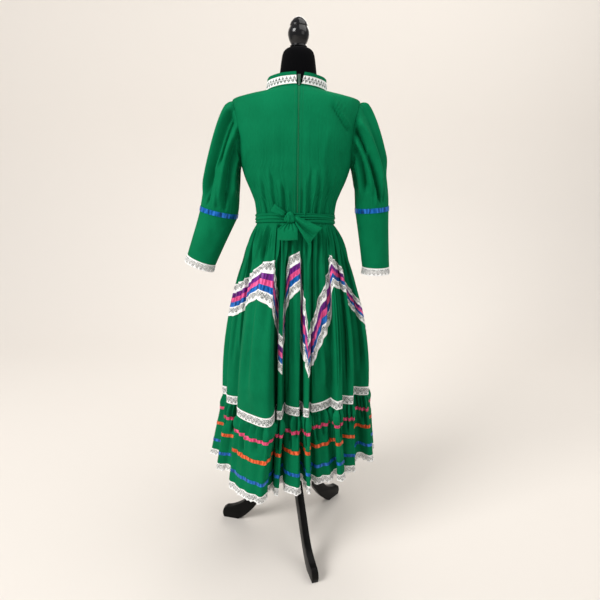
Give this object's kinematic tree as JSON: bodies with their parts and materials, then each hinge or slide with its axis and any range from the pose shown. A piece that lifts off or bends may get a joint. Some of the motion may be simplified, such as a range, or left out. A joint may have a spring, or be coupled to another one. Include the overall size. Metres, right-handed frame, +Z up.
{
  "type": "folklorico dress on limbless dress form",
  "caption": "Folklorico dance dress with stand collar, elbow ribbons, zigzag ribbon and lace, tied sash and gathered flounce, on a limbless dress form with a three-legged stand.",
  "frame": {"origin": "centre of the whole object's box in X and Y, on the floor under the feet of the stand", "axes": "+Z up, +Y the way the wearer faces, -Y the back of the dress with its zip, +X the wearer's right"},
  "size_m": [0.636, 0.4904, 1.679],
  "materials": {
    "green_satin": "emerald satin-backed cloth with a soft sheen",
    "zip_tape": "woven tape with a dark coil",
    "white_lace": "open white lace",
    "purple_satin": "satin ribbon",
    "pink_satin": "satin ribbon",
    "blue_satin": "satin ribbon",
    "orange_satin": "satin ribbon",
    "zip_metal": "polished",
    "form_jersey": "black jersey",
    "black_lacquer": "black satin lacquer",
    "steel": "brushed"
  },
  "bodies": {
    "dress_and_form": {"bodice_front": "green_satin", "bodice_back_left": "green_satin", "bodice_back_right": "green_satin", "back_zip": "zip_tape", "zip_slider": "zip_metal", "collar": "green_satin", "collar_lace": "white_lace", "sleeve_upper_left": "green_satin", "sleeve_upper_right": "green_satin", "sleeve_lower_left": "green_satin", "sleeve_lower_right": "green_satin", "sleeve_ribbon_left": "blue_satin", "sleeve_ribbon_right": "blue_satin", "cuff_lace_left": "white_lace", "cuff_lace_right": "white_lace", "sash": "green_satin", "bow_knot": "green_satin", "bow_tail_left": "green_satin", "bow_tail_right": "green_satin", "bow_loop_left": "green_satin", "skirt_back": "green_satin", "skirt_front": "green_satin", "zigzag_lace_upper": "white_lace", "zigzag_ribbon_purple": "purple_satin", "zigzag_ribbon_pink": "pink_satin", "zigzag_ribbon_blue": "blue_satin", "zigzag_lace_lower": "white_lace", "flounce": "green_satin", "flounce_head_lace": "white_lace", "flounce_ribbon_pink": "pink_satin", "flounce_ribbon_orange": "orange_satin", "flounce_ribbon_blue": "blue_satin", "hem_lace": "white_lace", "form_body": "form_jersey", "form_finial": "black_lacquer", "form_pole": "steel", "form_hub": "black_lacquer", "form_leg_1": "black_lacquer", "form_leg_2": "black_lacquer", "form_leg_3": "black_lacquer"},
    "zip_pull_tab": {"zip_pull": "zip_metal"}
  },
  "joints": [
    {"name": "pull_hinge", "type": "hinge", "parent": "dress_and_form", "child": "zip_pull_tab", "pos_m": [0.02938, -0.05096, 1.52255], "axis": [-1, 0, 0], "range_deg": [0, 150]}
  ]
}
